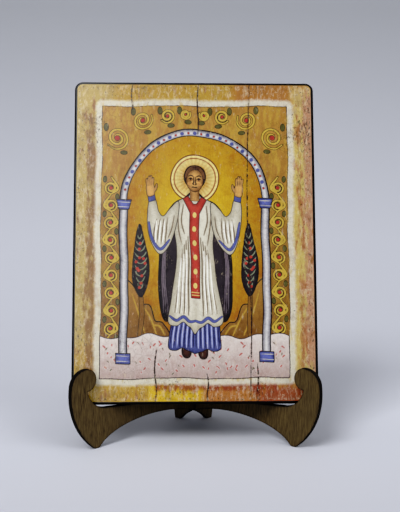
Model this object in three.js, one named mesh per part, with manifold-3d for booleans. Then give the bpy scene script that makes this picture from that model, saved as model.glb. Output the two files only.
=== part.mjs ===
// A printed icon panel that leans back in a display stand of two crossed plywood plates.
// Millimetres, +Z up. The picture faces -Y, and the origin is on the ground under the middle of the whole object.
import * as THREE from "three";
import { mergeVertices } from "three/addons/utils/BufferGeometryUtils.js";
import Module from "manifold-3d";

const wasm = await Module();
wasm.setup();

// The panel: a board with a print on its front
const PANEL_WIDTH = 180;
const PANEL_HEIGHT = 240;
const PANEL_DEPTH = 18;
const PANEL_LEAN = THREE.MathUtils.degToRad(12);
const PANEL_LIFT = 31; // height of the front bottom edge over the ground
const CORNER_RADIUS = 6;
const EDGE_ROUNDING = 1.3;
const EDGE_STEPS = 3;
const SHEET_THICKNESS = 0.5;

// The stand: two upright plates of one outline, which cross in a half lap behind the panel
const PLATE_THICKNESS = 4;
const PLATE_ANGLE = THREE.MathUtils.degToRad(40); // between a plate and the picture's width
const CROSSING_BEHIND = 58.5; // from the panel's front bottom edge back to the crossing line
const GAP = 0.3; // kept between pieces that touch

// Plate outline: u runs forwards from the crossing line, z is the height over the ground
const SCROLL = { u: 102.3, z: 51, radius: 8.2 };
const HOOK_TOP = { u: 102.3, z: 46.4, radius: 12.8 };
const HOOK_JOIN = THREE.MathUtils.degToRad(8.4); // where the hook's top arc runs into its long outer arc
const HOOK_OUTER_RADIUS = 52;
const SEAT = { u: 83.8, z: 46.9, radius: 18.4 };
const SEAT_FLOOR_FALL = 2.2; // from the lowest point of the seat's arc back to the panel's rear edge
const ARCH = { u: 39.8, z: -5.6, halfWidth: 54, height: 21.3 };
const FOOT_FILLET_HEIGHT = 1.6; // height at which the arch rounds into a foot
const FOOT_FILLET_WIDTH = 2.2;
const REAR_FOOT_WIDTH = 4.4;
const REAR_REACH = 19; // from the crossing line to the rearmost edge
const REAR_HEEL_HEIGHT = 18;
const BACK_TOP = { z: 121, radius: 9 };
const BACK_TOP_END = THREE.MathUtils.degToRad(190); // where the rounded top runs into the rear edge
const BACK_SWEEP = { above: 26, below: 46 }; // handle lengths of the rear edge's curve
const LAP_HEIGHT = 37; // where the slots of the two plates meet
const ARC_STEPS = 14;

// Places that follow from these
const plateSine = Math.sin(PLATE_ANGLE);
const outerArcDistance = HOOK_OUTER_RADIUS - HOOK_TOP.radius;
const outerArc = {
  u: HOOK_TOP.u - outerArcDistance * Math.cos(HOOK_JOIN),
  z: HOOK_TOP.z - outerArcDistance * Math.sin(HOOK_JOIN),
};
const hookReach = outerArc.u + HOOK_OUTER_RADIUS;
const crossingY = ((hookReach - REAR_REACH) / 2) * plateSine;
const panelFrontY = crossingY - CROSSING_BEHIND;

// The panel's rear bottom edge, and its slanted back, as seen along a plate
const panelRearHeight = PANEL_LIFT - PANEL_DEPTH * Math.sin(PANEL_LEAN);
const panelRearReach = (CROSSING_BEHIND - PANEL_DEPTH * Math.cos(PANEL_LEAN)) / plateSine;
const faceShift = PLATE_THICKNESS / 2 / Math.tan(PLATE_ANGLE);
const backSlope = -Math.tan(PANEL_LEAN) / plateSine;
const backClearance = (1.5 * GAP) / Math.cos(Math.atan(backSlope));
const seatCorner = {
  u: panelRearReach - faceShift - backClearance,
  z: SEAT.z - SEAT.radius - SEAT_FLOOR_FALL,
};

function alongBack(z) {
  return seatCorner.u + backSlope * (z - panelRearHeight);
}

const blackPaint = new THREE.MeshStandardMaterial({ color: 0x17140f, roughness: 0.45, metalness: 0 });
const glossyPrint = new THREE.MeshStandardMaterial({ color: 0xb69a4c, roughness: 0.25, metalness: 0 });
const stainedPly = new THREE.MeshStandardMaterial({ color: 0x5f5032, roughness: 0.6, metalness: 0 });

// An upright rounded rectangle, centred in width and standing on y = 0
function roundedRectangle(width, height, radius) {
  const half = width / 2;
  const outline = new THREE.Shape();
  outline.moveTo(-half + radius, 0);
  outline.lineTo(half - radius, 0);
  outline.absarc(half - radius, radius, radius, -Math.PI / 2, 0, false);
  outline.lineTo(half, height - radius);
  outline.absarc(half - radius, height - radius, radius, 0, Math.PI / 2, false);
  outline.lineTo(-half + radius, height);
  outline.absarc(-half + radius, height - radius, radius, Math.PI / 2, Math.PI, false);
  outline.lineTo(-half, radius);
  outline.absarc(-half + radius, radius, radius, Math.PI, 1.5 * Math.PI, false);
  return outline;
}

// The board: rounded corners in front view, and all long edges rounded over
function boardGeometry() {
  const depth = PANEL_DEPTH - SHEET_THICKNESS - GAP;
  const outline = roundedRectangle(
    PANEL_WIDTH - 2 * EDGE_ROUNDING,
    PANEL_HEIGHT - 2 * EDGE_ROUNDING,
    CORNER_RADIUS - EDGE_ROUNDING,
  );
  const geometry = new THREE.ExtrudeGeometry(outline, {
    depth: depth - 2 * EDGE_ROUNDING,
    bevelEnabled: true,
    bevelThickness: EDGE_ROUNDING,
    bevelSize: EDGE_ROUNDING,
    bevelSegments: EDGE_STEPS,
    curveSegments: 4,
  });
  geometry.translate(0, EDGE_ROUNDING, EDGE_ROUNDING - PANEL_DEPTH);
  return geometry.rotateX(Math.PI / 2);
}

// The print: a thin sheet that covers the flat of the board's front
function sheetGeometry() {
  const outline = roundedRectangle(
    PANEL_WIDTH - 2 * EDGE_ROUNDING,
    PANEL_HEIGHT - 2 * EDGE_ROUNDING,
    CORNER_RADIUS - EDGE_ROUNDING,
  );
  const geometry = new THREE.ExtrudeGeometry(outline, {
    depth: SHEET_THICKNESS,
    bevelEnabled: false,
    curveSegments: 4,
  });
  geometry.translate(0, EDGE_ROUNDING, -SHEET_THICKNESS);
  return geometry.rotateX(Math.PI / 2);
}

// Angle on the arch's ellipse at which its edge is at the height of the foot's rounding
function archFootAngle() {
  return Math.asin((FOOT_FILLET_HEIGHT - ARCH.z) / ARCH.height);
}

// One plate's outline, run round from the front foot over the hook, seat and back to the rear foot
function plateOutline() {
  const footAngle = archFootAngle();
  const archReach = ARCH.halfWidth * Math.cos(footAngle);
  const frontFootEnd = outerArc.u + Math.sqrt(HOOK_OUTER_RADIUS ** 2 - outerArc.z ** 2);
  const frontFootStart = ARCH.u + archReach + FOOT_FILLET_WIDTH;
  const rearFootStart = ARCH.u - archReach - FOOT_FILLET_WIDTH;

  const outline = new THREE.Shape();
  outline.moveTo(frontFootStart, 0);
  outline.lineTo(frontFootEnd, 0);

  // Hook: the long outer arc, the tighter top, and the scroll that curls back over the seat
  const outerStart = Math.asin(-outerArc.z / HOOK_OUTER_RADIUS);
  outline.absarc(outerArc.u, outerArc.z, HOOK_OUTER_RADIUS, outerStart, HOOK_JOIN, false);
  outline.absarc(HOOK_TOP.u, HOOK_TOP.z, HOOK_TOP.radius, HOOK_JOIN, Math.PI / 2, false);
  const cusp = scrollCusp();
  outline.absarc(SCROLL.u, SCROLL.z, SCROLL.radius, Math.PI / 2, cusp.onScroll, false);

  // Seat: a round hollow whose floor falls back to the corner under the panel
  outline.absarc(SEAT.u, SEAT.z, SEAT.radius, cusp.onSeat, -Math.PI / 2, true);
  outline.lineTo(seatCorner.u, seatCorner.z);

  // Back: the slanted edge that the panel leans on, a rounded top, and a rear edge that sweeps down
  const slant = Math.atan2(-backSlope, 1);
  const topCentre = {
    u: alongBack(BACK_TOP.z) - BACK_TOP.radius * Math.cos(slant),
    z: BACK_TOP.z - BACK_TOP.radius * Math.sin(slant),
  };
  outline.lineTo(alongBack(BACK_TOP.z), BACK_TOP.z);
  outline.absarc(topCentre.u, topCentre.z, BACK_TOP.radius, slant, BACK_TOP_END, false);
  const rearStart = {
    u: topCentre.u + BACK_TOP.radius * Math.cos(BACK_TOP_END),
    z: topCentre.z + BACK_TOP.radius * Math.sin(BACK_TOP_END),
  };
  outline.bezierCurveTo(
    rearStart.u - BACK_SWEEP.above * Math.sin(BACK_TOP_END),
    rearStart.z + BACK_SWEEP.above * Math.cos(BACK_TOP_END),
    -REAR_REACH,
    REAR_HEEL_HEIGHT + BACK_SWEEP.below,
    -REAR_REACH,
    REAR_HEEL_HEIGHT,
  );

  // Rear foot, and the long arch back to the front foot
  const rearFootEnd = rearFootStart - REAR_FOOT_WIDTH;
  outline.quadraticCurveTo(-REAR_REACH, REAR_HEEL_HEIGHT / 4, rearFootEnd, 0);
  outline.lineTo(rearFootStart, 0);
  outline.quadraticCurveTo(
    rearFootStart + FOOT_FILLET_WIDTH / 2,
    0,
    rearFootStart + FOOT_FILLET_WIDTH,
    FOOT_FILLET_HEIGHT,
  );
  outline.absellipse(
    ARCH.u,
    ARCH.z,
    ARCH.halfWidth,
    ARCH.height,
    Math.PI - footAngle,
    footAngle,
    true,
    0,
  );
  outline.quadraticCurveTo(frontFootStart - FOOT_FILLET_WIDTH / 2, 0, frontFootStart, 0);
  return outline;
}

// Where the scroll's circle meets the seat's circle, as an angle on each
function scrollCusp() {
  const across = SCROLL.u - SEAT.u;
  const up = SCROLL.z - SEAT.z;
  const distance = Math.hypot(across, up);
  const along = (distance ** 2 + SEAT.radius ** 2 - SCROLL.radius ** 2) / (2 * distance);
  const aside = Math.sqrt(SEAT.radius ** 2 - along ** 2);
  const u = SEAT.u + (along * across + aside * up) / distance;
  const z = SEAT.z + (along * up - aside * across) / distance;
  return {
    onSeat: Math.atan2(z - SEAT.z, u - SEAT.u),
    onScroll: Math.atan2(z - SCROLL.z, u - SCROLL.u) + 2 * Math.PI,
  };
}

function solidOf(geometry) {
  const bare = new THREE.BufferGeometry();
  bare.setAttribute("position", geometry.getAttribute("position"));
  bare.setIndex(geometry.getIndex());
  const merged = mergeVertices(bare, 1e-3);
  return new wasm.Manifold(
    new wasm.Mesh({
      numProp: 3,
      vertProperties: merged.getAttribute("position").array,
      triVerts: new Uint32Array(merged.getIndex().array),
    }),
  );
}

function geometryOf(solid) {
  const mesh = solid.getMesh();
  const geometry = new THREE.BufferGeometry();
  geometry.setAttribute("position", new THREE.BufferAttribute(mesh.vertProperties, 3));
  geometry.setIndex(new THREE.BufferAttribute(mesh.triVerts, 1));
  return geometry;
}

// One plate with its half of the lap: a slot on the crossing line, open at the top or at the bottom
function plateGeometry(slotFromTop) {
  const plate = new THREE.ExtrudeGeometry(plateOutline(), {
    depth: PLATE_THICKNESS,
    bevelEnabled: false,
    curveSegments: ARC_STEPS,
  });
  plate.translate(0, 0, -PLATE_THICKNESS / 2);

  const crossAngle = Math.PI - 2 * PLATE_ANGLE;
  const crossedWidth = PLATE_THICKNESS * (1 / Math.sin(crossAngle) + Math.abs(1 / Math.tan(crossAngle)));
  const slotLength = 2 * BACK_TOP.z;
  const slot = new THREE.BoxGeometry(crossedWidth + 2 * GAP, slotLength, 2 * PLATE_THICKNESS);
  const slotEnd = LAP_HEIGHT + (slotFromTop ? -GAP / 2 : GAP / 2);
  slot.translate(0, slotFromTop ? slotEnd + slotLength / 2 : slotEnd - slotLength / 2, 0);

  return geometryOf(solidOf(plate).subtract(solidOf(slot))).rotateX(Math.PI / 2);
}

function namedMesh(name, geometry, material) {
  const mesh = new THREE.Mesh(geometry, material);
  mesh.name = name;
  return mesh;
}

// The panel leans back about its front bottom edge
const panel = new THREE.Group();
panel.add(namedMesh("icon_board", boardGeometry(), blackPaint));
panel.add(namedMesh("picture_sheet", sheetGeometry(), glossyPrint));
panel.position.set(0, panelFrontY, PANEL_LIFT);
panel.rotation.x = -PANEL_LEAN;

// Each plate stands on the crossing line and runs forwards, out to its own side
const leftPlate = namedMesh("stand_plate_left", plateGeometry(true), stainedPly);
leftPlate.position.y = crossingY;
leftPlate.rotation.z = Math.PI + PLATE_ANGLE;

const rightPlate = namedMesh("stand_plate_right", plateGeometry(false), stainedPly);
rightPlate.position.y = crossingY;
rightPlate.rotation.z = -PLATE_ANGLE;

const iconPanel = new THREE.Group();
iconPanel.add(panel, leftPlate, rightPlate);

export default iconPanel;
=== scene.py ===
import math

import bmesh
import bpy
import numpy as np
from mathutils import Matrix, Quaternion, Vector
from mathutils.geometry import delaunay_2d_cdt


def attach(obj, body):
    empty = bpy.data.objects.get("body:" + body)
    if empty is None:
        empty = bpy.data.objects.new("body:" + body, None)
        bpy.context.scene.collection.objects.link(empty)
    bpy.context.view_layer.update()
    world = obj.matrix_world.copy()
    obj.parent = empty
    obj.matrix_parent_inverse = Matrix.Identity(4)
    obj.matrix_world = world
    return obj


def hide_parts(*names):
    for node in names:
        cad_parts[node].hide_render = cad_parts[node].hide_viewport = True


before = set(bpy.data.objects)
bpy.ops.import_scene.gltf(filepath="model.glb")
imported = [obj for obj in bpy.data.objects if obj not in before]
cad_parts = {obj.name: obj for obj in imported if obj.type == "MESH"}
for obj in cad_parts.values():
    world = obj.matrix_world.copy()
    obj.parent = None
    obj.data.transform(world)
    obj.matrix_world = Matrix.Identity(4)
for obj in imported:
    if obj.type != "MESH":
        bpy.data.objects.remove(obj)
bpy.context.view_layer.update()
MM = 0.001

# Stand plates
# Two plates of stained plywood, cut out by laser, which leaves their edges burnt nearly black.
# They are pushed together in a half lap behind the panel, and nothing else holds them.
RIM_ROUNDING = 0.35 * MM
RIM_STEPS = 3
BURN_RINGS = (1.0 * MM, 2.2 * MM)  # distances from the cut at which the smoke stain is drawn
PLY_MESH_STEP = 4.0 * MM
CAD_WELD = 0.001 * MM
PIECE_WELD = 0.002 * MM
SAME_PLANE = 0.999  # cosine between the normals of faces that make one flat
STAIN_DARK = "#322817"
STAIN_MID = "#4e422b"
STAIN_LIGHT = "#6c5a39"
BURNT_DARK = "#060403"
BURNT_LIGHT = "#150e08"
# The sizes of the plywood's patterns in mm, along X, Y and Z
WOOD_GRAIN = (0.55, 0.55, 8.0)  # a little coarser than birch so that it shows
WOOD_PORES = (0.275, 0.275, 3.2)
STAIN_CLOUDS = (14.0, 14.0, 42.0)
SOOT = (1.2, 1.2, 1.2)
BURN_DEPTH = 0.3  # mm from the cut that are black
SMOKE_START = 0.25  # mm from the cut, where the brown of the smoke is deepest
SMOKE_REACH = 1.6  # mm from the cut, where it ends
GRAIN_DEPTH = 0.06 * MM


def hex_colour(text):
    """An sRGB hex value as linear red, green, blue and alpha."""
    channels = [int(text[i:i + 2], 16) / 255 for i in (1, 3, 5)]
    linear = [c / 12.92 if c <= 0.04045 else ((c + 0.055) / 1.055) ** 2.4 for c in channels]
    return (*linear, 1.0)


def add(tree, kind, links=None, **settings):
    """One node with its settings, and its inputs by name or number, each a value or a socket to link."""
    node = tree.nodes.new(kind)
    for key, value in settings.items():
        setattr(node, key, value)
    for key, value in (links or {}).items():
        if isinstance(value, bpy.types.NodeSocket):
            tree.links.new(value, node.inputs[key])
        else:
            node.inputs[key].default_value = value
    return node


def laid_over(tree, base, tint, pattern, low, high, cover=1.0, blend="MIX"):
    """A colour laid over another where a pattern's value goes from low to high, up to the given cover.
    Each colour is a hex value or a socket."""
    base, tint = (hex_colour(c) if isinstance(c, str) else c for c in (base, tint))
    inputs = {"Value": pattern, "From Min": low, "From Max": high, "To Min": 0.0, "To Max": cover}
    share = add(tree, "ShaderNodeMapRange", inputs).outputs["Result"]
    laid = add(tree, "ShaderNodeMix", {0: share, 6: base, 7: tint}, data_type="RGBA", blend_type=blend)
    return laid.outputs[2]


def grown_noise(tree, sizes, detail=3.0, roughness=0.55, turn=(0, 0, 0)):
    """Noise on the piece's own coordinates, with spots of the given sizes in mm, turned as asked."""
    place = add(tree, "ShaderNodeTexCoord").outputs["Object"]
    scale = tuple(size * MM for size in sizes)
    inputs = {"Vector": place, "Rotation": turn, "Scale": scale}
    stretched = add(tree, "ShaderNodeMapping", inputs, vector_type="TEXTURE").outputs["Vector"]
    inputs = {"Vector": stretched, "Scale": 1.0, "Detail": detail, "Roughness": roughness}
    return add(tree, "ShaderNodeTexNoise", inputs).outputs["Fac"]


def new_material(name):
    """An empty material with a principled shader, as the material, its tree and the shader."""
    material = bpy.data.materials.new(name)
    material.use_nodes = True
    tree = material.node_tree
    return material, tree, tree.nodes["Principled BSDF"]


def join_finish(tree, shader, colour, roughness, relief, strength, depth):
    """Gives the shader its colour, its roughness and a bump of the given depth."""
    bump = add(tree, "ShaderNodeBump", {"Height": relief, "Strength": strength, "Distance": depth})
    tree.links.new(colour, shader.inputs["Base Color"])
    tree.links.new(roughness, shader.inputs["Roughness"])
    tree.links.new(bump.outputs["Normal"], shader.inputs["Normal"])


def stained_plywood():
    """Birch plywood, stained and thinly varnished: fine upright grain, satin, black where it was cut."""
    material, tree, shader = new_material("stained_plywood_laser_cut")
    grain = grown_noise(tree, WOOD_GRAIN, 4.0, 0.65)
    cloud = grown_noise(tree, STAIN_CLOUDS, 2.0)
    pores = grown_noise(tree, WOOD_PORES, 2.0)
    face = laid_over(tree, STAIN_DARK, STAIN_LIGHT, grain, 0.36, 0.66)
    face = laid_over(tree, face, STAIN_MID, cloud, 0.35, 0.7, 0.5)
    face = laid_over(tree, face, STAIN_DARK, pores, 0.62, 0.7, 0.55)

    # The middle ply of the cut shows end grain, a shade lighter than the two outer plies
    across = add(tree, "ShaderNodeAttribute", attribute_name="across").outputs["Fac"]
    from_middle = add(tree, "ShaderNodeMath", {0: across}, operation="ABSOLUTE").outputs[0]
    soot = grown_noise(tree, SOOT, 3.0)
    cut = laid_over(tree, BURNT_DARK, BURNT_LIGHT, soot, 0.35, 0.75)
    cut = laid_over(tree, cut, BURNT_LIGHT, from_middle, 0.4, 0.3, 0.35)

    from_cut = add(tree, "ShaderNodeAttribute", attribute_name="from_cut").outputs["Fac"]
    smoked = laid_over(tree, face, BURNT_LIGHT, from_cut, SMOKE_REACH, SMOKE_START, 0.35)
    colour = laid_over(tree, cut, smoked, from_cut, 0.0, BURN_DEPTH)
    satin = add(tree, "ShaderNodeMapRange", {0: grain, 1: 0.3, 2: 0.7, 3: 0.62, 4: 0.5}).outputs[0]
    burn_ends = {0: from_cut, 1: 0.0, 2: BURN_DEPTH, 3: 0.95, 4: 0.0}
    charred = add(tree, "ShaderNodeMapRange", burn_ends).outputs[0]
    roughness = add(tree, "ShaderNodeMath", {0: satin, 1: charred}, operation="MAXIMUM").outputs[0]
    join_finish(tree, shader, colour, roughness, grain, 0.35, GRAIN_DEPTH)
    shader.inputs["Specular IOR Level"].default_value = 0.25
    return material


def cut_outline(node):
    """The outline of a flat plate's front face in its own plane, with the plane's axes, middle and depth."""
    shape = bmesh.new()
    shape.from_mesh(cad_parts[node].data)
    bmesh.ops.remove_doubles(shape, verts=shape.verts, dist=CAD_WELD)
    broadest = max(shape.faces, key=lambda face: face.calc_area())
    normal = broadest.normal.copy()
    face_edges = {}
    for face in shape.faces:
        if face.normal.dot(normal) < SAME_PLANE:
            continue
        for loop in face.loops:
            if loop.link_loop_radial_next.face.normal.dot(normal) < SAME_PLANE:
                face_edges[loop.vert] = loop.link_loop_next.vert
    start = next(iter(face_edges))
    outline = [start]
    while face_edges[outline[-1]] is not start:
        outline.append(face_edges[outline[-1]])
    depths = [vert.co.dot(normal) for vert in shape.verts]
    along = Vector((0, 0, 1)).cross(normal)
    axes = Matrix((along, Vector((0, 0, 1)), -normal)).transposed()
    points = np.array([(vert.co.dot(along), vert.co.z) for vert in outline])
    shape.free()
    return points, axes, -(max(depths) + min(depths)) / 2, max(depths) - min(depths)


def inset(points, distance):
    """A closed outline, run anticlockwise, moved inwards by a distance."""
    before = points - np.roll(points, 1, axis=0)
    after = np.roll(points, -1, axis=0) - points
    sides = [step / np.linalg.norm(step, axis=1, keepdims=True) for step in (before, after)]
    inward = [np.stack((-side[:, 1], side[:, 0]), axis=1) for side in sides]
    middle = inward[0] + inward[1]
    middle /= np.maximum(np.linalg.norm(middle, axis=1, keepdims=True), 1e-6)
    # A sharp corner moves by twice the distance at most
    stretch = np.maximum((middle * inward[0]).sum(axis=1, keepdims=True), 0.5)
    return points + distance * middle / stretch


def line_distance(points, line, closed=False):
    """The distance from each point to a chain of straight steps, and how far along the chain that is."""
    ends = np.roll(line, -1, axis=0) if closed else line[1:]
    starts = line if closed else line[:-1]
    nearest = np.full(len(points), np.inf)
    reached = np.zeros(len(points))
    for step, (a, b) in enumerate(zip(starts, ends)):
        run = b - a
        share = np.clip(((points - a) @ run) / max(run @ run, 1e-12), 0, 1)
        distance = np.hypot(*(points - a - share[:, None] * run).T)
        closer = distance < nearest
        nearest[closer] = distance[closer]
        reached[closer] = (step + share[closer]) / len(starts)
    return nearest, reached


def inside(points, loop):
    """Whether each point lies inside a closed outline."""
    within = np.zeros(len(points), bool)
    for (x0, y0), (x1, y1) in zip(loop, np.roll(loop, -1, axis=0)):
        if y0 == y1:
            continue
        crosses = (points[:, 1] < y0) != (points[:, 1] < y1)
        within ^= crosses & (points[:, 0] < x0 + (points[:, 1] - y0) * (x1 - x0) / (y1 - y0))
    return within


def face_net(rim):
    """Points and triangles that fill a plate's face, with rings of points that follow its cut edge."""
    extra = [inset(rim, ring)[::2] for ring in BURN_RINGS]
    low, high = rim.min(axis=0), rim.max(axis=0)
    steps = [np.arange(low[axis], high[axis], PLY_MESH_STEP) for axis in (0, 1)]
    extra.append(np.stack(np.meshgrid(*steps), axis=-1).reshape(-1, 2))
    limits = [0.9 * ring for ring in BURN_RINGS] + [BURN_RINGS[-1] + 0.4 * PLY_MESH_STEP]
    kept = [rim]
    for points, limit in zip(extra, limits):
        clear = inside(points, rim) & (line_distance(points, rim, closed=True)[0] > limit)
        kept.append(points[clear])
    points = np.concatenate(kept)
    net = delaunay_2d_cdt([Vector(p) for p in points], [], [list(range(len(rim)))], 1, 1e-9)
    return np.array([tuple(p) for p in net[0]]), [tuple(face) for face in net[2]]


def new_piece(name, vertices, faces, material, values=None):
    """A mesh object with one material and point values by name."""
    mesh = bpy.data.meshes.new(name)
    mesh.from_pydata([tuple(v) for v in vertices], [], faces)
    for key, numbers in (values or {}).items():
        mesh.attributes.new(key, "FLOAT", "POINT").data.foreach_set("value", np.asarray(numbers, np.float32))
    mesh.materials.append(material)
    mesh.validate()
    piece = bpy.data.objects.new(name, mesh)
    bpy.context.scene.collection.objects.link(piece)
    return piece


def shade_rounds(piece, angle=35):
    """Smooth shading with sharp creases kept."""
    piece.data.shade_smooth()
    piece.data.set_sharp_from_angle(angle=math.radians(angle))


def rim_rings(outline, front, back, rounding, steps):
    """Rings of points from a body's front face round its rounded rim to its back face."""
    turns = [math.pi / 2 * step / steps for step in range(steps + 1)]
    sides = [(rounding * (1 - math.sin(turn)), rounding * (1 - math.cos(turn))) for turn in turns]
    rings = [(inset(outline, inwards), front - depth) for inwards, depth in sides]
    return rings + [(inset(outline, inwards), back + depth) for inwards, depth in reversed(sides)]


def ring_walls(rings):
    """The vertices of the rings, and the faces between each ring and the next."""
    count = len(rings[0][0])
    vertices = [(x, y, depth) for ring, depth in rings for x, y in ring]
    faces = []
    for level in range(len(rings) - 1):
        for i in range(count):
            j = (i + 1) % count
            first, second = level * count, (level + 1) * count
            faces.append((first + i, second + i, second + j, first + j))
    return vertices, faces


def face_outwards(piece):
    """Joins doubled points and turns all faces outwards."""
    shape = bmesh.new()
    shape.from_mesh(piece.data)
    bmesh.ops.remove_doubles(shape, verts=shape.verts, dist=PIECE_WELD)
    bmesh.ops.recalc_face_normals(shape, faces=shape.faces)
    shape.to_mesh(piece.data)
    shape.free()


def plate_piece(node, name, material):
    """A plate with rounded rims, built on the outline of its CAD node."""
    outline, axes, middle, thickness = cut_outline(node)
    following = np.roll(outline, -1, axis=0)
    if np.sum(outline[:, 0] * following[:, 1] - following[:, 0] * outline[:, 1]) < 0:
        outline = outline[::-1]
    half = thickness / 2
    rings = rim_rings(outline, half, -half, RIM_ROUNDING, RIM_STEPS)
    vertices, faces = ring_walls(rings)
    from_cut = [0.0] * len(vertices)
    points, triangles = face_net(rings[0][0])
    distances = line_distance(points, outline, closed=True)[0] / MM
    for side in (1, -1):
        first = len(vertices)
        vertices.extend((x, z, side * half) for x, z in points)
        from_cut.extend(distances)
        faces.extend(tuple(first + i for i in triangle[::side]) for triangle in triangles)
    across = [depth / half for x, z, depth in vertices]
    vertices = [axes @ Vector((x, z, depth + middle)) for x, z, depth in vertices]
    piece = new_piece(name, vertices, faces, material, {"from_cut": from_cut, "across": across})
    face_outwards(piece)
    shade_rounds(piece)
    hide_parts(node)
    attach(piece, "root")
    return piece


plywood = stained_plywood()
plates = [plate_piece(f"stand_plate_{side}", f"plywood_plate_{side}", plywood) for side in ("left", "right")]

# Icon board
# A wooden board with rounded corners and edges, brushed all over with black paint.
# It stands loose on the seats of the two plates and leans against their slanted backs.
CORNER_RADIUS = 6.0 * MM
CORNER_STEPS = 10
EDGE_ROUNDING = 1.3 * MM
EDGE_STEPS = 5
PAINT_BLACK = "#070606"
PAINT_THIN = "#15100c"
DRY_BRUSHED = "#57422b"
DRY_MARGINS = (5.0 * MM, 16.0 * MM)  # between these distances from its rim the back gets less paint
# The sizes of the paint's patterns in mm, along X, Y and Z
BRUSH_MARKS = (1.1, 1.1, 60.0)
THIN_PATCHES = (22.0, 22.0, 40.0)
DRY_STREAKS = (1.6, 1.6, 110.0)
BRUSH_DEPTH = 0.05 * MM


def black_paint(lean):
    """Black satin paint brushed on bare wood: deep black, with upright brush marks, and streaks of wood
    on the back, where the brush was nearly dry."""
    material, tree, shader = new_material("black_satin_paint")
    upright = (-lean, 0, 0)
    brush = grown_noise(tree, BRUSH_MARKS, 4.0, 0.6, upright)
    thin = grown_noise(tree, THIN_PATCHES, 3.0)
    streaks = grown_noise(tree, DRY_STREAKS, 5.0, 0.6, upright)
    dry = add(tree, "ShaderNodeAttribute", attribute_name="dry").outputs["Fac"]
    colour = laid_over(tree, PAINT_BLACK, PAINT_THIN, brush, 0.45, 0.8)
    colour = laid_over(tree, colour, PAINT_THIN, thin, 0.5, 0.75, 0.5)
    colour = laid_over(tree, colour, DRY_BRUSHED, streaks, 0.4, 0.72, dry)
    satin = add(tree, "ShaderNodeMapRange", {0: brush, 1: 0.3, 2: 0.7, 3: 0.42, 4: 0.58}).outputs[0]
    join_finish(tree, shader, colour, satin, brush, 0.3, BRUSH_DEPTH)
    shader.inputs["Specular IOR Level"].default_value = 0.1
    return material


def panel_axes():
    """The picture's own right, up and outward directions, read from the sheet that it is printed on."""
    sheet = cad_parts["picture_sheet"].data
    front = max((face for face in sheet.polygons if face.normal.y < 0), key=lambda face: face.area)
    right = Vector((1, 0, 0))
    return Matrix((right, front.normal.cross(right), front.normal)).transposed()


def extents(node, axes):
    """The lowest and highest corner of a node along the given axes."""
    points = np.array([axes.transposed() @ vertex.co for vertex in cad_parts[node].data.vertices])
    return points.min(axis=0), points.max(axis=0)


def rounded_rectangle(low, high, radius):
    """An outline with round corners, run anticlockwise."""
    points = []
    left, bottom = low[0] + radius, low[1] + radius
    right, top = high[0] - radius, high[1] - radius
    for quarter, (x, y) in enumerate(((right, bottom), (right, top), (left, top), (left, bottom))):
        for step in range(CORNER_STEPS + 1):
            turn = math.pi / 2 * (quarter - 1 + step / CORNER_STEPS)
            points.append((x + radius * math.cos(turn), y + radius * math.sin(turn)))
    return np.array(points)


panel = panel_axes()
panel_lean = math.atan2(panel.col[1].y, panel.col[1].z)
board_low, board_high = extents("icon_board", panel)
sheet_low, sheet_high = extents("picture_sheet", panel)
board_outline = rounded_rectangle(board_low, board_high, CORNER_RADIUS)
board_rings = rim_rings(board_outline, board_high[2], board_low[2], EDGE_ROUNDING, EDGE_STEPS)
for margin in DRY_MARGINS:
    inner = rounded_rectangle(board_low[:2] + margin, board_high[:2] - margin, CORNER_RADIUS)
    board_rings.append((inner, board_low[2]))
board_vertices, board_faces = ring_walls(board_rings)
count = len(board_outline)
dry = np.zeros(len(board_vertices))
dry[-count:] = 1.0
board_faces.append(tuple(range(count)))
board_faces.append(tuple(reversed(range(len(board_vertices) - count, len(board_vertices)))))
board_points = [panel @ Vector(v) for v in board_vertices]
board = new_piece("black_board", board_points, board_faces, black_paint(panel_lean), {"dry": dry})
face_outwards(board)
shade_rounds(board)
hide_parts("icon_board")
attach(board, "root")

# Picture sheet
# A colour print on thin paper, glued to the flat of the board's front and varnished to a gloss.
# It shows a generic figure with raised hands under a round arch, drawn here from outlines and strokes,
# on a worn and cracked old ground that is printed too, so nothing of it stands out of the sheet.
FAR = 5.0  # mm, the reach of a drawn shape's distance values
SHEET_RADIUS = CORNER_RADIUS - EDGE_ROUNDING
# The sheet's mesh in mm, each stretch as from, to and spacing: fine where the drawing is fine
HALF_COLUMNS = ((0, 9, 0.32), (9, 37, 0.65), (37, 70, 0.85), (70, None, 1.6))
ROWS = (
    (None, 19, 1.5),
    (19, 28, 0.85),
    (28, 150, 0.65),
    (150, 178, 0.35),
    (178, 222, 0.85),
    (222, None, 1.5),
)
# The print's colours, each as its shaded and its lit tone
GOLD = ("#a4651a", "#d9bb2c")
OCHRE = ("#9c6d22", "#cdb14a")
BROWN = ("#6f421c", "#b98c40")
CREAM = ("#ada48c", "#e2decf")
RUST = ("#74341d", "#bd763c")
BRICK = ("#6e2019", "#a8482f")
RED = ("#7c211d", "#c6473a")
LAPIS = ("#1f2054", "#6a73ba")
SILVER = ("#6f6a78", "#dddbda")
BLACK = ("#0c090d", "#352c34")
FLESH = ("#7a481e", "#dbae66")
HAIR = ("#1a0d08", "#4a2a19")
PINK = ("#b0958d", "#e2dad4")
LEAF = ("#332c14", "#6f6b36")
STRAW = ("#a8954f", "#dfd08a")
ROSE = ("#8a5134", "#d3a486")
PALE_GOLD = ("#c08f30", "#ece09a")
THREAD_GOLD = ("#b98a2c", "#ecdc8c")
SAGE = ("#4d5a3c", "#a5ad90")
PLUM = ("#54464f", "#8d7f8a")
LEATHER = ("#17110f", "#4b2a22")
SKY = ("#8f96d0", "#d3d7f0")
NIGHT = ("#15143a", "#23245a")
FOLD = ("#5d4a35", "#97856a")
WHITE = ("#e6e4da", "#fbfaf4")
LOCK = ("#5a3420", "#94653f")
CRACK = ("#1c100c", "#4a3226")
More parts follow.
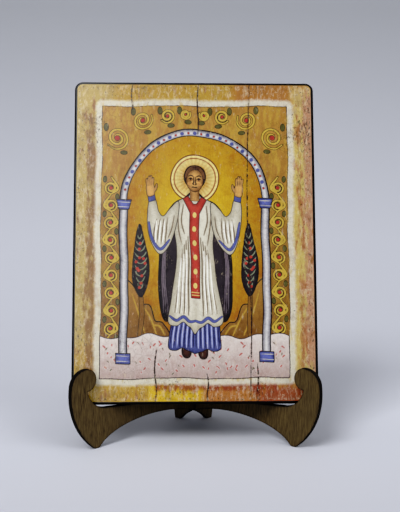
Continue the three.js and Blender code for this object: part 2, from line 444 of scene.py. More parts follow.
# The colours of its drawn lines
INK = "#150e11"
FIELD_LINE = "#3a2214"
VINE_LINE = "#2f1b10"
GROUND_LINE = "#3b2528"
HALO_LINE = "#7d441d"
CLOTH_LINE = "#33281f"
STOLE_LINE = "#2f0f0e"
SKIN_LINE = "#33190d"


def spaced(stretches, low, high):
    """Positions from low to high, with the spacing that each stretch asks for."""
    places = [low]
    for start, end, step in stretches:
        start = low if start is None else start
        end = high if end is None else end
        count = max(1, round((end - start) / step))
        places.extend(np.linspace(start, end, count + 1)[1:])
    return np.array(places)


def sheet_grid():
    """The sheet's points in mm from the middle of the panel's lower edge, cut to round corners."""
    half_width = sheet_high[0] / MM
    low, high = ((sheet[1] - board_low[1]) / MM for sheet in (sheet_low, sheet_high))
    radius = SHEET_RADIUS / MM
    half = spaced(HALF_COLUMNS, 0, half_width)
    columns = np.concatenate((-half[:0:-1], half))
    turns = np.linspace(0, math.pi / 2, CORNER_STEPS + 1)
    arc = radius * (1 - np.cos(turns))
    rows = spaced(ROWS, low + radius, high - radius)
    rows = np.concatenate((low + arc[:-1], rows, (high - arc[:-1])[::-1]))
    from_end = np.minimum(np.minimum(rows - low, high - rows), radius)
    width = half_width - radius + np.sqrt(np.maximum(radius**2 - (radius - from_end) ** 2, 0))
    return np.outer(width / half_width, columns), np.repeat(rows[:, None], len(columns), axis=1)


across_sheet, up_sheet = sheet_grid()
row_count, column_count = across_sheet.shape
drawn = np.stack((across_sheet.ravel(), up_sheet.ravel()), axis=1)
# The hand that drew the picture wavers a little, and both halves are drawn alike
waver = (
    0.45 * np.sin(drawn[:, 1] / 17.0) + 0.25 * np.sin(drawn[:, 1] / 6.1),
    0.5 * np.sin(drawn[:, 0] / 11.0) + 0.2 * np.sin(drawn[:, 0] / 4.3),
)
drawn_hand = drawn + np.stack(waver, axis=1)
twofold = np.stack((np.abs(drawn_hand[:, 0]), drawn_hand[:, 1]), axis=1)
across, up = twofold.T


def smooth(points, closed, steps=8):
    """A smooth curve through the points (Catmull-Rom), as short straight steps."""
    points = np.array(points, float)
    if closed:
        padded = np.concatenate((points[-1:], points, points[:2]))
    else:
        padded = np.concatenate((2 * points[:1] - points[1:2], points, 2 * points[-1:] - points[-2:-1]))
    curve = []
    for a, b, c, d in zip(padded, padded[1:], padded[2:], padded[3:]):
        square, cube = 2 * a - 5 * b + 4 * c - d, 3 * b - a - 3 * c + d
        for t in np.arange(steps) / steps:
            curve.append(b + 0.5 * ((c - a) * t + square * t**2 + cube * t**3))
    if not closed:
        curve.append(points[-1])
    return np.array(curve)


def near_to(line, ground, margin):
    """Whether each point lies in a line's box, widened by a margin."""
    return np.all((ground > line.min(axis=0) - margin) & (ground < line.max(axis=0) + margin), axis=1)


def outlined(points, ground=twofold, rounded=True):
    """Distance values of a closed outline, in mm, above zero inside it."""
    loop = smooth(points, True) if rounded else np.array(points, float)
    values = np.full(len(ground), -FAR)
    near = near_to(loop, ground, FAR)
    distance = line_distance(ground[near], loop, closed=True)[0]
    values[near] = np.where(inside(ground[near], loop), distance, -distance)
    return np.maximum(values, -FAR)


def strokes(lines, width, ground=twofold):
    """Distance values of brush strokes that thin out to their ends, above zero on the stroke."""
    values = np.full(len(ground), -FAR)
    for points in lines:
        line = smooth(points, False)
        near = near_to(line, ground, width + 1.5)
        distance, along = line_distance(ground[near], line)
        brush = width / 2 * (0.4 + 0.6 * np.sqrt(np.sin(math.pi * np.clip(along, 0.02, 0.98))))
        values[near] = np.maximum(values[near], brush - distance)
    return values


def oval(middle, half_width, half_height=None, ground=twofold):
    """Distance values of a round or oval spot."""
    half_height = half_height or half_width
    offset = np.hypot((ground[:, 0] - middle[0]) / half_width, (ground[:, 1] - middle[1]) / half_height)
    return np.maximum((1 - offset) * min(half_width, half_height), -FAR)


def block(left, right, bottom, top, ground=twofold):
    """Distance values of an upright rectangle."""
    sides = (ground[:, 0] - left, right - ground[:, 0], ground[:, 1] - bottom, top - ground[:, 1])
    return np.maximum(np.minimum.reduce(sides), -FAR)


def joined(fields):
    """Distance values of several shapes taken as one."""
    return np.maximum.reduce(list(fields))


def scroll(middle, radius, way, start, turns=1.6, steps=12):
    """Points of a tendril that winds inwards."""
    points = []
    for step in range(steps + 1):
        share = step / steps
        turn = math.radians(start) + way * 2 * math.pi * turns * share
        reach = radius * (1 - 0.82 * share)
        points.append((middle[0] + reach * math.cos(turn), middle[1] + reach * math.sin(turn)))
    return points


layers = []
tone = np.full(len(drawn), 0.5)


def paint(name, values, colours, shade=0.5, line=None, line_width=0.5, ragged=0.2, soft=0.1, cover=1.0):
    """One painted area over the last ones: its values, its tones, the shade between them and its line.
    Its edge wanders by the ragged mm and fades over the soft mm."""
    covered = values > -0.3
    tone[covered] = np.broadcast_to(shade, tone.shape)[covered]
    layers.append((name, np.maximum(values, -FAR), colours, line, line_width, ragged, soft, cover))


# The worn border, with washes of other colours, the pale band inside it and the field
FIELD_HALF = 69.0  # mm, as all sizes of the drawing
FIELD_LOW = 19.0
FIELD_HIGH = 221.0
BAND_WIDTH = 5.0
paint("pale_left", block(-95, -62, 40, 245, drawn), STRAW, 0.35, ragged=12, soft=4.5, cover=0.6)
paint("rusty_top", block(28, 95, 214, 245, drawn), RUST, 0.6, ragged=12, soft=4.5, cover=0.7)
paint("pale_right", block(72, 95, 10, 236, drawn), STRAW, 0.7, ragged=14, soft=4.0, cover=0.75)
paint("rusty_right", block(81, 95, 12, 232, drawn), ROSE, 0.6, ragged=30, soft=2.5, cover=0.9)
paint("rubbed_right", block(77, 80, 14, 206, drawn), RUST, 0.6, ragged=30, soft=2.0, cover=0.6)
paint("rubbed_left", block(-80, -72, 16, 212, drawn), BROWN, 0.2, ragged=38, soft=2.0, cover=0.85)
paint("bright_foot", block(-34, 8, -5, 14, drawn), GOLD, 0.9, ragged=10, soft=3.0)
paint("orange_foot", block(4, 52, -5, 15, drawn), RUST, 0.75, ragged=12, soft=4.0, cover=0.85)
paint("brick_foot", block(46, 95, -5, 15, drawn), BRICK, 0.7, ragged=12, soft=4.5, cover=0.9)
paint("scuffed_foot", block(-30, 60, 10, 15, drawn), BRICK, 0.5, ragged=16, soft=1.5, cover=0.8)
field = block(-1, FIELD_HALF, FIELD_LOW, FIELD_HIGH)
beyond_side = np.maximum(across - FIELD_HALF, 0)
beyond_end = np.maximum(np.abs(up - (FIELD_LOW + FIELD_HIGH) / 2) - (FIELD_HIGH - FIELD_LOW) / 2, 0)
from_field = np.hypot(beyond_side, beyond_end)
paint("pale_band", BAND_WIDTH - from_field, CREAM, 0.8, ragged=4, soft=1.2, cover=0.95)
field_shade = np.clip(0.15 + (up - 60) / 200, 0, 0.8)
paint("field", field, BROWN, field_shade, FIELD_LINE, 0.5, ragged=1.2)
paint("gilding", np.minimum(field, 0) - 0.6, OCHRE, 0.7, ragged=22, soft=1.6, cover=0.6)

# Winding tendrils in the field beside and over the arch
ARCH_HALF = 50.0
ARCH_WIDTH = 5.0
SPRING = 148.0  # the height from which the arch turns
FLOOR = 30.0
VINE_LOW = 42.0
VINE_STEP = 13.0
VINE_COUNT = 10
VINE_RADIUS = 4.7
# The larger scrolls over the arch, each as its middle, its radius and the way it winds
BIG_SCROLLS = (
    ((58, 197), 9.0, -1),
    ((39, 210.5), 7.6, 1),
    ((20.5, 213.5), 5.6, -1),
    ((7, 214.5), 4.0, 1),
)
vine_middle = (FIELD_HALF + ARCH_HALF + ARCH_WIDTH) / 2
vine, leaves, berries = [], [], []
for k in range(VINE_COUNT):
    way = 1 if k % 2 else -1
    height = VINE_LOW + VINE_STEP * k
    low_end = (vine_middle, height - VINE_RADIUS)
    vine.append(scroll((vine_middle, height), VINE_RADIUS, way, -90))
    vine.append([low_end, (vine_middle - 5.2 * way, height), (vine_middle, height + 8.3)])
    leaves.append(oval((vine_middle + 4.6 * way, height + 6.5), 1.3, 2.1))
    berries.append(oval((vine_middle, height), 1.3))
for middle, radius, way in BIG_SCROLLS:
    vine.append(scroll(middle, radius, way, -35 if way < 0 else 150, 1.9, 16))
    beside = 0.75 * radius + 1.4
    leaves.append(oval((middle[0] + beside, min(middle[1] + beside, FIELD_HIGH - 3.4)), 1.6, 2.6))
    leaves.append(oval((middle[0] - 0.5 * radius, middle[1] - radius - 1.8), 2.3, 1.4))
    berries.append(oval(middle, 0.2 * radius))
paint("leaves", joined(leaves), LEAF, 0.6, INK, 0.3)
paint("vine", strokes(vine, 1.6), OCHRE, 0.9, VINE_LINE, 0.35, ragged=0.5)
paint("berries", joined(berries), RED, 0.6, INK, 0.3)

# The arch on two columns, with the golden ground behind it
from_centre = np.hypot(across, up - SPRING)
opening = np.minimum(ARCH_HALF - np.where(up > SPRING, from_centre, across), up - FLOOR)
arch = np.minimum(opening + ARCH_WIDTH, up - FLOOR)
arch_shade = 0.5 + 0.5 * np.cos((opening + ARCH_WIDTH / 2) * 2 * math.pi / ARCH_WIDTH)
paint("arch", arch, SILVER, arch_shade, INK, 1.0, ragged=0.6)
glow = np.clip(1.2 - np.hypot(across / 46, (up - 135) / 72), 0, 1)
paint("gold", opening, GOLD, glow, INK, 0.7, ragged=0.6)
STONE_COUNT = 8
STONE_STEP = math.radians(10.5)
for name, colours, shift, size in (("blue_stones", LAPIS, 0.0, 1.4), ("red_stones", RED, 0.5, 0.9)):
    reach = ARCH_HALF + ARCH_WIDTH / 2
    turns = (np.arange(STONE_COUNT) + shift) * STONE_STEP
    spots = [(reach * math.sin(turn), SPRING + reach * math.cos(turn)) for turn in turns]
    paint(name, joined(oval(spot, size) for spot in spots), colours, 0.5)

# Hills, trees and the pale ground
hill = outlined([(18, 46), (24, 58), (30, 60), (34, 71), (40, 73), (44, 84), (52, 88), (52, 46), (35, 40)])
paint("hill", np.minimum(hill, opening), BROWN, np.clip((up - 45) / 60, 0, 0.8), INK, 0.8, ragged=0.6)
ridges = [[(22, 50), (26, 56), (31, 57)], [(28, 50), (33, 62), (38, 70)], [(36, 50), (42, 66), (47, 82)]]
paint("ridges", strokes(ridges, 1.2), OCHRE, 0.6, ragged=0.8, cover=0.8)
trunk = strokes([[(40.5, 47), (39.6, 64), (40.4, 84)]], 3.2)
paint("trunk", trunk, BROWN, 0.2, INK, 0.4)
CROWN_MIDDLE = 40.3
crown = outlined(
    [(40, 78), (45.5, 88), (46.3, 101), (44, 117), (40.3, 132), (36.5, 117), (34.2, 101), (35, 88)]
)
paint("crown", crown, BLACK, np.clip(crown / 6, 0, 1), INK, 0.4, ragged=1.2)
twigs = []
for k in range(9):
    for way in (-1, 1):
        height = 84 + 4.6 * k
        reach = 4.6 * math.sin(math.pi * (k + 1.6) / 11) * way
        bend = (CROWN_MIDDLE + 0.6 * reach, height + 1.6)
        twigs.append([(CROWN_MIDDLE, height), bend, (CROWN_MIDDLE + reach, height + 4.2)])
paint("twigs", strokes(twigs, 0.9), SAGE, 0.5)
GOLDEN_TURN = 2.4  # radians between one fruit and the next
fruit = []
for k in range(3, 24, 2):
    turn = GOLDEN_TURN * k
    spread = math.sqrt(k)
    spot = (CROWN_MIDDLE + 0.75 * spread * math.cos(turn), 102 + 3.6 * spread * math.sin(turn))
    fruit.append(oval(spot, 1.15))
paint("fruit", joined(fruit), RED, 0.7)
ground_line = 49 + 1.2 * np.sin(drawn[:, 0] / 7.3) + 0.8 * np.sin(drawn[:, 0] / 3.1)
ground_depth = np.minimum(field, ground_line - up)
paint("ground", ground_depth, PINK, np.clip((up - 14) / 38, 0, 1), GROUND_LINE, 0.6, ragged=0.9)
flecks, tufts = [], []
scatter = np.random.default_rng(7)
for spot in scatter.uniform((-66, 21), (66, 45), (90, 2)):
    lean = scatter.uniform(-1.3, 1.3)
    mark = [spot, spot + (lean, 1.2), spot + (1.9 * lean, 1.8)]
    (flecks if scatter.uniform() < 0.7 else tufts).append(mark)
paint("flecks", strokes(flecks, 1.1, drawn), RED, 0.7, ragged=1.0, cover=0.8)
paint("tufts", strokes(tufts, 0.8, drawn), LEAF, 0.4, ragged=0.8, cover=0.8)
from_shaft = np.abs(across - ARCH_HALF - ARCH_WIDTH / 2)
shaft = np.minimum(ARCH_WIDTH / 2 - from_shaft, np.minimum(up - 33, SPRING - 2 - up))
paint("columns", shaft, SILVER, 0.5 + 0.45 * np.cos(from_shaft * 1.2), INK, 0.8, ragged=0.5)
base = np.minimum(5.0 - from_shaft, 3.5 - np.abs(up - 33.5))
capital = np.minimum(4.6 - from_shaft + 0.25 * (up - SPRING), 3.4 - np.abs(up - SPRING + 1.0))
plinths = np.maximum(base, capital)
paint("plinths", plinths, LAPIS, np.clip(0.3 + plinths / 4, 0, 1), INK, 0.6)
moulding_levels = (31.6, 35.4, SPRING - 2.8, SPRING + 0.8)
mouldings = [[(ARCH_HALF - 2.5, level), (ARCH_HALF + 7.5, level)] for level in moulding_levels]
paint("mouldings", strokes(mouldings, 0.7), CREAM, 0.7)

# The figure: halo, dark mantle, blue tunic, pale robe with wide sleeves, red stole
HALO_MIDDLE = (0, 166)
halo = oval(HALO_MIDDLE, 17.5)
halo_turn = np.arctan2(up - HALO_MIDDLE[1], across - HALO_MIDDLE[0])
rays = 0.14 * np.cos(30 * halo_turn)
paint("halo", halo, PALE_GOLD, np.clip(1.0 - halo / 10 + rays, 0, 1), HALO_LINE, 0.9)
halo_ring = 0.4 - np.abs(np.hypot(across, up - HALO_MIDDLE[1]) - 15.4)
paint("halo_ring", halo_ring, RUST, 0.4)
mantle = outlined(
    [(-3, 150), (9, 150), (17, 145), (23, 133), (26, 112), (27, 90), (26, 70), (22, 60), (14, 63), (-3, 66)]
)
paint("mantle", mantle, BLACK, np.clip(mantle / 10, 0, 0.8), INK, 0.5)
mantle_folds = [[(19 + k, 132 - 4 * k), (22.5 + k, 100), (20.5 + 1.6 * k, 66)] for k in range(3)]
paint("mantle_folds", strokes(mantle_folds, 0.8), PLUM, 0.5)
shoe = outlined([(3.2, 42), (2.6, 37), (4.2, 33.4), (7.6, 33.2), (9.4, 36.4), (8.6, 42)])
paint("shoes", shoe, LEATHER, np.clip(shoe / 2.5, 0, 1), INK, 0.3)
tunic = outlined(
    [(-3, 80), (14, 80), (17, 62), (18.6, 48), (18.8, 40.4), (14, 38.6), (9, 40.4), (4.5, 38.4), (-3, 40.2)]
)
paint("tunic", tunic, LAPIS, np.clip(0.1 + tunic / 8, 0, 0.8), INK, 0.5)
pleats = [[(2.2 + 3.1 * k, 60), (2.5 + 3.3 * k, 50), (2.6 + 3.45 * k, 40.5)] for k in range(5)]
paint("tunic_lights", strokes(pleats, 1.0), SKY, 0.5)
pleat_shades = [[(0.6 + 3.1 * k, 60), (0.9 + 3.3 * k, 49), (1.0 + 3.45 * k, 40.5)] for k in range(6)]
paint("tunic_shades", strokes(pleat_shades, 0.8), NIGHT, 0.4)
robe = outlined(
    [(-3, 151), (6, 150.6), (12, 148.4), (16, 142), (14.6, 128), (13.2, 114), (14.6, 96), (17.4, 78),
     (20, 60), (14, 56.4), (9, 59.2), (4, 55.8), (-3, 58)]
)
paint("robe", robe, CREAM, np.clip(0.2 + robe / 9, 0, 1), CLOTH_LINE, 0.5)
sleeve = outlined(
    [(12, 147.6), (18, 143.2), (23, 137.4), (27, 141), (29.4, 149.8), (33.8, 148.4), (34.6, 134),
     (32, 119), (26, 109.4), (18.6, 116.4), (13.6, 130)]
)
paint("sleeves", sleeve, CREAM, np.clip(0.15 + sleeve / 7, 0, 1), CLOTH_LINE, 0.5)
hem = [[(-3, 61.4), (4, 59.4), (9, 62.8), (14, 60.2), (19.2, 63.6)]]
hem.append([(18.4, 119.6), (25.8, 112.8), (31.4, 121.4), (33.6, 133)])
paint("hems", strokes(hem, 2.0), LAPIS, 0.6, INK, 0.2)
robe_folds = [[(8.5, 146), (9.6, 134), (7.2, 124)], [(12.4, 140), (11.6, 128), (9.4, 116)]]
robe_folds.append([(15, 138), (16.6, 128), (19.4, 121)])
for k in range(4):
    robe_folds.append([(4.6 + 1.5 * k, 122 - 3 * k), (5.0 + 2.2 * k, 92), (5.4 + 3.4 * k, 64 + 0.6 * k)])
    robe_folds.append([(20 + 2.6 * k, 137 - 0.5 * k), (20.6 + 3.0 * k, 126), (22 + 2.6 * k, 116 + k)])
paint("robe_folds", strokes(robe_folds, 0.9), FOLD, 0.4)
robe_lights = [[(6.4 + 2.0 * k, 112 - 3 * k), (6.6 + 2.6 * k, 90), (7.6 + 3.3 * k, 66)] for k in range(3)]
robe_lights += [[(22 + 3.0 * k, 134), (22.4 + 3.0 * k, 125), (23.6 + 2.6 * k, 118)] for k in range(3)]
paint("robe_lights", strokes(robe_lights, 1.2), WHITE, 0.6)
cuff = outlined([(29.2, 149.6), (34.0, 148.2), (34.6, 152.6), (30.0, 153.8)], rounded=False)
paint("cuffs", cuff, LAPIS, 0.5, INK, 0.4)
stole = outlined(
    [(-2, 77), (3.1, 77), (3.1, 110), (3.4, 140), (8.6, 150.4), (5.0, 152.2), (1.2, 146.6), (-2, 146.4)],
    rounded=False,
)
paint("stole", stole, RED, np.clip(0.25 + stole / 3.5, 0, 1), STOLE_LINE, 0.4)
marks = [oval((0, 86 + 10.5 * k), 1.5, 2.1) for k in range(6)]
marks += [block(-1, 3.0, 78.6 + 2.0 * k, 79.4 + 2.0 * k) for k in range(2)]
paint("stole_gold", joined(marks), THREAD_GOLD, 0.7)

# Hands, neck, face and hair, on plain proportions
palm = outlined([(30.2, 153.4), (34.4, 152.4), (35.6, 156.2), (35.4, 161.4), (30.9, 161.8), (29.9, 157.0)])
FINGER_LENGTHS = (5.6, 7.2, 6.9, 5.0)
fingers = []
for k, length in enumerate(FINGER_LENGTHS):
    x, y = 31.3 + 1.25 * k, 160.4
    splay = k - 1
    fingers.append([(x, y), (x + 0.12 * splay, y + 0.5 * length), (x + 0.35 * splay, y + length)])
thumb = [(30.6, 155.4), (28.8, 158.4), (28.2, 161.4)]
hand = joined((palm, strokes(fingers, 1.45), strokes([thumb], 1.6)))
skull = oval((0, 167.2), 8.1, 8.7)
paint("hair", np.where(up > 157.5, skull, -FAR), HAIR, np.clip(skull / 6, 0, 1), INK, 0.3)
paint("neck", block(-1, 3.3, 149.2, 159), FLESH, np.clip((3.4 - across) / 4, 0.05, 0.6), SKIN_LINE, 0.3)
FACE_MIDDLE = (0, 164.6)
face = oval(FACE_MIDDLE, 6.1, 8.3)
paint("face", face, FLESH, np.clip(0.02 + face / 3.4, 0, 1), SKIN_LINE, 0.35)
paint("hands", hand, FLESH, np.clip(0.3 + hand / 2, 0, 0.9), SKIN_LINE, 0.35)
gaps = [[(31.9 + 1.25 * k, 160.6), (32.0 + 1.3 * k, 163.0), (32.1 + 1.4 * k, 165.2)] for k in range(3)]
paint("finger_gaps", strokes(gaps, 0.45), HAIR, 0.5)
hairline = outlined(
    [(-3, 172.0), (0, 172.4), (3.0, 171.6), (5.0, 169.4), (5.9, 166.2), (7.6, 164.5), (8.2, 168),
     (7.0, 172.6), (4, 175.4), (0, 176.0), (-3, 175.6)]
)
paint("parted_hair", hairline, HAIR, np.clip(hairline / 3, 0, 0.8))
locks = []
for k in range(3):
    side = 6.3 - 0.4 * k
    crown_end = [(0.3, 175.2 - 1.2 * k), (3.4, 174.2 - 1.0 * k)]
    locks.append(crown_end + [(side, 170.8 - 0.6 * k), (side + 1.0, 166.4)])
paint("locks", strokes(locks, 0.5), LOCK, 0.5)
EYE_LINE = 165.3
features = [
    [(1.3, 167.5), (3.1, 168.3), (5.0, 167.3)],
    [(1.5, EYE_LINE), (3.0, EYE_LINE + 0.9), (4.6, EYE_LINE)],
    [(0.75, 167.2), (0.7, 163.2), (1.25, 161.9), (0.3, 161.3)],
    [(-0.2, 159.3), (1.1, 159.45), (2.0, 159.2)],
]
paint("features", np.maximum(strokes(features, 0.75), oval((3.05, EYE_LINE + 0.05), 0.72)), HAIR, 0.3)
soft_lines = [
    [(1.8, EYE_LINE - 0.7), (3.1, EYE_LINE - 1.1), (4.4, EYE_LINE - 0.6)],
    [(-0.2, 158.0), (0.8, 158.1), (1.4, 158.4)],
]
paint("soft_lines", strokes(soft_lines, 0.5), RUST, 0.5)
paint("cheeks", oval((3.6, 162.0), 1.2, 1.0), RUST, 0.9, ragged=0.6, soft=0.7, cover=0.5)

# Old cracks that run with the grain, and the black paint that laps over the sheet's edge
# Each crack as its place across, its bend, and its lower and its upper end
CRACKS = (
    (40, 1.3, 2, 238),
    (-29, 0.8, 2, 40),
    (9, -0.6, 2, 22),
    (2.4, 0.5, 200, 238),
    (45.5, -0.5, 2, 30),
    (-47, 0.6, 216, 238),
)
crack_lines = []
for middle, bend, low, high in CRACKS:
    heights = np.linspace(low, high, 5)
    crack_lines.append([(middle + bend * math.sin(1.9 * k), height) for k, height in enumerate(heights)])
paint("cracks", strokes(crack_lines, 1.0, drawn), CRACK, 0.3, ragged=1.6)
LAP_WIDTH = 0.85
WORN_REACH = 26.0  # mm from the rim in which most of the wear lies
FRESH_RIM = 1.5  # mm, the painted rim itself is not worn
corner_radius = SHEET_RADIUS / MM
half_height = (sheet_high[1] - sheet_low[1]) / MM / 2
middle_height = (sheet_high[1] + sheet_low[1]) / MM / 2 - board_low[1] / MM
past_side = np.abs(drawn[:, 0]) - sheet_high[0] / MM + corner_radius
past_end = np.abs(drawn[:, 1] - middle_height) - half_height + corner_radius
past_both = np.hypot(np.maximum(past_side, 0), np.maximum(past_end, 0))
from_rim = corner_radius - past_both - np.minimum(np.maximum(past_side, past_end), 0)
paint("painted_edge", LAP_WIDTH - from_rim, (PAINT_BLACK, PAINT_BLACK), 0.5, ragged=0.4)
worn = np.clip(1 - from_rim / WORN_REACH, 0, 1) - 4 * np.clip(1 - from_rim / FRESH_RIM, 0, 1)

# The sizes of the print's patterns in mm, along X, Y and Z
FLAKES = (2.4, 2.4, 2.4)
MOTTLE = (8.0, 8.0, 8.0)
AGE_CLOUDS = (26.0, 26.0, 26.0)
PRINT_GRAIN = (0.8, 0.8, 0.8)
STREAKS = (0.9, 0.9, 9.0)
SMEARS = (4.0, 4.0, 20.0)
SCUFFS = (2.2, 2.2, 9.0)
SPECKS = (1.1, 1.1, 2.4)
VARNISH_WAVES = (1.8, 1.8, 0.9)
VARNISH_DEPTH = 0.06 * MM
CRACK_NET = 5.5  # mm between one fine crack and the next
SMEARED_FROM = 9.0  # mm, edges that wander further than this are smeared upwards
INK_BLEED = 0.12  # mm over which a drawn line fades
TONE_RANGE = (0.98, 2.06)  # the sums of shade and patterns that give the shaded and the lit tone
LOST_PAINT = "#d8ccaa"
SCUFFED_PAINT = "#e3d3b4"
SPECK_BROWN = "#3a2115"
STAIN_BROWN = "#8a5f2a"
CRACK_BROWN = "#3a2417"
INK_DEPTH = "#d6d6d6"  # the share of the light that the ink and old varnish give back


def summed(tree, base, *weighed):
    """A value with patterns added to it, each by its own weight."""
    for pattern, weight in weighed:
        inputs = {0: pattern, 1: weight, 2: base}
        base = add(tree, "ShaderNodeMath", inputs, operation="MULTIPLY_ADD").outputs[0]
    return base


def varnished_print(painted):
    """Inkjet colours on paper under gloss varnish: a worn, cracked old picture, flat, with a soft sheen."""
    material, tree, shader = new_material("varnished_print")
    flake = grown_noise(tree, FLAKES, 6.0, 0.72)
    mottle = grown_noise(tree, MOTTLE, 5.0, 0.65)
    cloud = grown_noise(tree, AGE_CLOUDS, 3.0)
    grain = grown_noise(tree, PRINT_GRAIN, 2.0, 0.6)
    streak = grown_noise(tree, STREAKS, 4.0, 0.6)
    smear = grown_noise(tree, SMEARS, 6.0, 0.65)
    scuff = grown_noise(tree, SCUFFS, 6.0, 0.7)
    speck = grown_noise(tree, SPECKS, 4.0, 0.7)
    tone_read = add(tree, "ShaderNodeAttribute", attribute_name="tone").outputs["Fac"]
    light = summed(tree, tone_read, (mottle, 1.1), (grain, 0.55), (streak, 0.55))
    wander, smeared = (summed(tree, -0.5, (noise, 1.0)) for noise in (flake, smear))

    colour = laid_over(tree, *OCHRE, light, *TONE_RANGE)
    gilt = laid_over(tree, *GOLD, light, *TONE_RANGE)
    colour = laid_over(tree, colour, gilt, cloud, 0.48, 0.62, 0.7)
    for name, _, tones, line, line_width, ragged, soft, cover in painted:
        shape = add(tree, "ShaderNodeAttribute", attribute_name=name).outputs["Fac"]
        edge = summed(tree, shape, (smeared if ragged > SMEARED_FROM else wander, ragged))
        if line:
            colour = laid_over(tree, colour, line, edge, -line_width - INK_BLEED, -line_width + INK_BLEED)
        toned = laid_over(tree, *tones, light, *TONE_RANGE)
        colour = laid_over(tree, colour, toned, edge, -soft, soft, cover)

    # Wear: lost flakes, scuffs, dark specks and brown stains, most of them near the rim
    wear = add(tree, "ShaderNodeAttribute", attribute_name="worn").outputs["Fac"]
    lost = summed(tree, flake, (wear, 0.12))
    colour = laid_over(tree, colour, LOST_PAINT, lost, 0.66, 0.72, 0.55)
    scuffed = summed(tree, scuff, (wear, 0.12))
    colour = laid_over(tree, colour, SCUFFED_PAINT, scuffed, 0.6, 0.72, 0.5)
    specked = summed(tree, speck, (wear, 0.14), (cloud, 0.35))
    colour = laid_over(tree, colour, SPECK_BROWN, specked, 0.86, 0.93, 0.75)
    stained = summed(tree, mottle, (wear, 0.12))
    colour = laid_over(tree, colour, STAIN_BROWN, stained, 0.55, 0.75, 0.4, "MULTIPLY")

    # A net of fine cracks in patches, and the depth of the ink under the varnish
    place = add(tree, "ShaderNodeTexCoord").outputs["Object"]
    net_inputs = {"Vector": place, "Scale": 1 / (CRACK_NET * MM), "Randomness": 1.0}
    net = add(tree, "ShaderNodeTexVoronoi", net_inputs, feature="DISTANCE_TO_EDGE").outputs["Distance"]
    cracked = add(tree, "ShaderNodeMapRange", {0: cloud, 1: 0.4, 2: 0.7, 3: 0.0, 4: 0.3}).outputs[0]
    colour = laid_over(tree, colour, CRACK_BROWN, net, 0.05, 0.0, cracked)
    deepened = {0: 1.0, 6: colour, 7: hex_colour(INK_DEPTH)}
    colour = add(tree, "ShaderNodeMix", deepened, data_type="RGBA", blend_type="MULTIPLY").outputs[2]
    gloss = add(tree, "ShaderNodeMapRange", {0: mottle, 1: 0.3, 2: 0.7, 3: 0.2, 4: 0.28}).outputs[0]
    join_finish(tree, shader, colour, gloss, grown_noise(tree, VARNISH_WAVES, 2.0), 0.5, VARNISH_DEPTH)
    return material


rows, places = np.arange(row_count - 1)[:, None], np.arange(column_count - 1)[None, :]
corner = (rows * column_count + places).ravel()
quads = np.stack((corner, corner + 1, corner + column_count + 1, corner + column_count), axis=1)
sheet_faces = [tuple(quad) for quad in quads]
grid = np.arange(row_count * column_count).reshape(row_count, column_count)
rim = np.concatenate((grid[0], grid[1:, -1], grid[-1, -2::-1], grid[-2:0:-1, 0]))
point_count, rim_count = len(drawn), len(rim)
for i in range(rim_count):
    j = (i + 1) % rim_count
    sheet_faces.append((rim[j], rim[i], point_count + i, point_count + j))
sheet_faces.append(tuple(point_count + i for i in reversed(range(rim_count))))
flat = [(x * MM, y * MM + board_low[1], sheet_high[2]) for x, y in drawn]
flat += [(x * MM, y * MM + board_low[1], board_high[2]) for x, y in drawn[rim]]
numbers = {name: values for name, values, *_ in layers}
numbers.update(tone=tone, worn=worn)
numbers = {name: np.concatenate((values, values[rim])) for name, values in numbers.items()}
sheet_points = [panel @ Vector(v) for v in flat]
picture = new_piece("printed_picture", sheet_points, sheet_faces, varnished_print(layers), numbers)
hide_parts("picture_sheet")
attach(picture, "root")

# Floor and backdrop
# A wide sheet of matte grey paper, laid on the floor and swept up in one curve behind the object.
# It is only stage. Its colour turns a little darker far up and close to the camera: painted shade where less
# light would fall.
SWEEP_FRONT = -3.0
SWEEP_BACK = 0.35
SWEEP_RADIUS = 1.3
SWEEP_HEIGHT = 2.6
SWEEP_HALF_WIDTH = 3.0
SWEEP_STEPS = 24
PAPER_GREY = "#c6c8d0"
# Darker tones of the paper, painted shade for far up the sweep and for the floor near the camera
PAPER_HIGH_PAINTED_SHADE = "#a9abb1"
PAPER_NEAR_PAINTED_SHADE = "#616268"
paper, paper_tree, paper_shader = new_material("matte_grey_paper")
paper_place = add(paper_tree, "ShaderNodeTexCoord").outputs["Object"]
paper_axes = add(paper_tree, "ShaderNodeSeparateXYZ", {0: paper_place}).outputs
# Painted shade: the paper's colour darkens up the sweep and towards the camera
paper_colour_and_painted_shade = laid_over(paper_tree, PAPER_GREY, PAPER_HIGH_PAINTED_SHADE, paper_axes["Z"], 0.08, 0.6)
paper_colour_and_painted_shade = laid_over(paper_tree, paper_colour_and_painted_shade, PAPER_NEAR_PAINTED_SHADE, paper_axes["Y"], 0.05, -0.95)
paper_tree.links.new(paper_colour_and_painted_shade, paper_shader.inputs["Base Color"])
paper_shader.inputs["Roughness"].default_value = 0.9
paper_shader.inputs["Specular IOR Level"].default_value = 0.1
profile = [(SWEEP_FRONT, 0.0)]
for step in range(SWEEP_STEPS + 1):
    turn = math.pi / 2 * step / SWEEP_STEPS
    profile.append((SWEEP_BACK + SWEEP_RADIUS * math.sin(turn), SWEEP_RADIUS * (1 - math.cos(turn))))
profile.append((SWEEP_BACK + SWEEP_RADIUS, SWEEP_HEIGHT))
vertices = [(side * SWEEP_HALF_WIDTH, y, z) for y, z in profile for side in (-1, 1)]
faces = [(2 * i, 2 * i + 1, 2 * i + 3, 2 * i + 2) for i in range(len(profile) - 1)]
sweep = new_piece("paper_sweep", vertices, faces, paper)
sweep.data.shade_smooth()

# Light
# A soft room, two large soft boxes in front and one overhead. A strip gives the sheen on the varnish,
# and a box behind lights the back of the object, and only that, so the shadow on the floor stays.
ROOM_COLOUR = "#e9ebf2"
ROOM_STRENGTH = 0.31
STAND_MIDDLE = (0, 0, 0.12)
PICTURE_MIDDLE = (0, 0, 0.16)
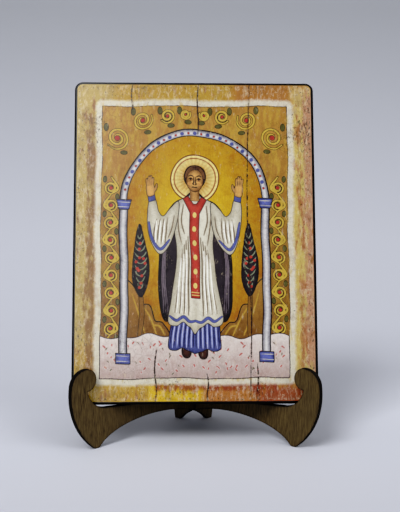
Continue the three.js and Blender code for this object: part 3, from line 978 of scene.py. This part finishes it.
# How bright each dark tone is, and how bright it is shown
TOE = ((0.012, 0.005), (0.03, 0.019), (0.075, 0.07), (0.2, 0.2))
scene = bpy.context.scene
scene.view_settings.view_transform = "Standard"
scene.view_settings.look = "Medium High Contrast"
scene.view_settings.use_curve_mapping = True
tone_curve = scene.view_settings.curve_mapping
for bright, shown in TOE:
    tone_curve.curves[3].points.new(bright, shown)
tone_curve.update()
world = bpy.data.worlds.new("soft_room")
world.use_nodes = True
room = world.node_tree.nodes["Background"]
room.inputs["Color"].default_value = hex_colour(ROOM_COLOUR)
room.inputs["Strength"].default_value = ROOM_STRENGTH
scene.world = world


def soft_box(name, place, target, width, height, power, lit=None):
    """A soft box of the given size in metres and power in watts, for everything or only some pieces."""
    light = bpy.data.lights.new(name, "AREA")
    light.shape = "RECTANGLE"
    light.size = width
    light.size_y = height
    light.energy = power
    lamp = bpy.data.objects.new(name, light)
    lamp.location = place
    lamp.rotation_mode = "QUATERNION"
    lamp.rotation_quaternion = (Vector(target) - Vector(place)).to_track_quat("-Z", "Y")
    scene.collection.objects.link(lamp)
    if lit:
        receivers = bpy.data.collections.new(name + "_lights")
        for piece in lit:
            receivers.objects.link(piece)
        lamp.light_linking.receiver_collection = receivers


soft_box("key_softbox", (-0.95, -1.45, 1.85), STAND_MIDDLE, 1.0, 1.0, 40)
soft_box("fill_softbox", (1.76, -1.44, 1.37), STAND_MIDDLE, 1.44, 1.44, 23)
soft_box("top_softbox", (0.0, -0.15, 2.0), (0, 0, 0), 1.2, 1.2, 6)
soft_box("sheen_strip", (-0.42, -1.6, 0.85), PICTURE_MIDDLE, 0.35, 1.3, 5.5, [picture])
soft_box("rear_softbox", (0.25, 1.2, 0.9), STAND_MIDDLE, 1.0, 1.0, 13, [board, *plates])

# Camera
# It stands about 0.6 m in front of the panel, a little to the left and above its middle, and looks
# slightly down and to the right, as in the photo.
CAMERA_PLACE = Vector((-14.46, -592.04, 198.37)) * MM
CAMERA_DOWN = math.radians(6)
CAMERA_TURN = 0.03083  # radians
CAMERA_ROLL = 0.00265  # radians
LENS = 56.25  # mm
SENSOR_WIDTH = 36  # mm
camera_data = bpy.data.cameras.new("photo_view")
camera_data.lens = LENS
camera_data.sensor_width = SENSOR_WIDTH
camera = bpy.data.objects.new("photo_view", camera_data)
camera.location = CAMERA_PLACE
camera.rotation_mode = "QUATERNION"
camera.rotation_quaternion = (
    Quaternion((0, 0, 1), -CAMERA_TURN)
    @ Quaternion((1, 0, 0), math.pi / 2 - CAMERA_DOWN)
    @ Quaternion((0, 0, 1), CAMERA_ROLL)
)
scene.collection.objects.link(camera)
scene.camera = camera
